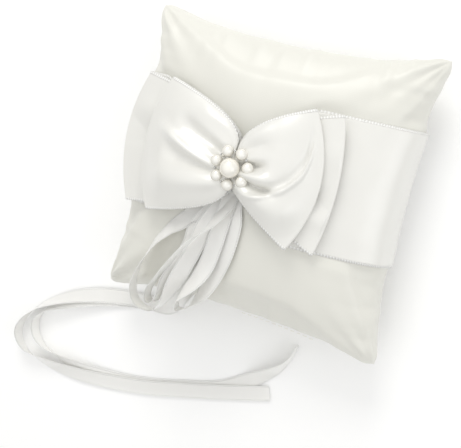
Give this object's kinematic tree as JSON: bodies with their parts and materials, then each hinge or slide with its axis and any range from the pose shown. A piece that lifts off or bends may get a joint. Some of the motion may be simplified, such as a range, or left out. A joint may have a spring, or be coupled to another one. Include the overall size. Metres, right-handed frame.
{
  "type": "ring bearer pillow",
  "caption": "Square satin cushion with a wide ribbon band, a layered bow, a pearl brooch, narrow ribbon loops and two long tails that tie wedding rings on.",
  "frame": {"origin": "underside of the wide band, on the table plane below the middle of the cushion", "axes": "+X to the cushion's right, +Y to its top, +Z out of its front face"},
  "size_m": [0.2508, 0.2608, 0.0822],
  "materials": {
    "cover_satin": "satin weave, soft sheen",
    "polyester_filling": "loose fibre",
    "wide_ribbon": "satin ribbon, woven selvedge",
    "narrow_ribbon": "satin ribbon, woven selvedge",
    "thread": "twisted sewing thread",
    "brooch_metal": "silver-coloured plate",
    "centre_pearl": "pearlescent coating",
    "ring_pearls": "pearlescent coating",
    "clear_beads": "clear polished"
  },
  "bodies": {
    "cushion": {"front_panel": "cover_satin", "back_panel": "cover_satin", "fibre_filling": "polyester_filling", "closing_stitches": "thread", "wide_band": "wide_ribbon", "band_overlap": "wide_ribbon", "overlap_stitches": "thread", "lower_bow_pinch": "wide_ribbon", "upper_bow_pinch": "wide_ribbon", "bow_wrap": "narrow_ribbon", "tacking_stitches": "thread", "streamer_roots": "narrow_ribbon", "outer_tail_run": "narrow_ribbon", "inner_tail_run": "narrow_ribbon", "brooch_base": "brooch_metal", "bead_wire": "brooch_metal", "centre_pearl": "centre_pearl", "ring_pearls": "ring_pearls", "seed_beads": "clear_beads"},
    "left_loops": {"lower_loop_left": "wide_ribbon", "upper_loop_left": "wide_ribbon"},
    "right_loops": {"lower_loop_right": "wide_ribbon", "upper_loop_right": "wide_ribbon"},
    "streamers": {"streamer_loop_1": "narrow_ribbon", "streamer_loop_2": "narrow_ribbon", "streamer_loop_3": "narrow_ribbon"},
    "tails": {"outer_tail": "narrow_ribbon", "inner_tail": "narrow_ribbon"}
  },
  "joints": [
    {"name": "left_loops_lift", "type": "hinge", "parent": "cushion", "child": "left_loops", "pos_m": [-0.02, 0.0065, 0.075], "axis": [0, 1, 0], "range_deg": [0, 35]},
    {"name": "right_loops_lift", "type": "hinge", "parent": "cushion", "child": "right_loops", "pos_m": [0.008, 0.0065, 0.075], "axis": [0, -1, 0], "range_deg": [0, 35]},
    {"name": "streamers_lift", "type": "hinge", "parent": "cushion", "child": "streamers", "pos_m": [-0.02, -0.029, 0.066], "axis": [-0.9752, -0.2212, 0], "range_deg": [0, 45]},
    {"name": "tails_sweep", "type": "hinge", "parent": "cushion", "child": "tails", "pos_m": [-0.0685, -0.0995, 0], "axis": [0, 0, 1], "range_deg": [-25, 8]}
  ]
}
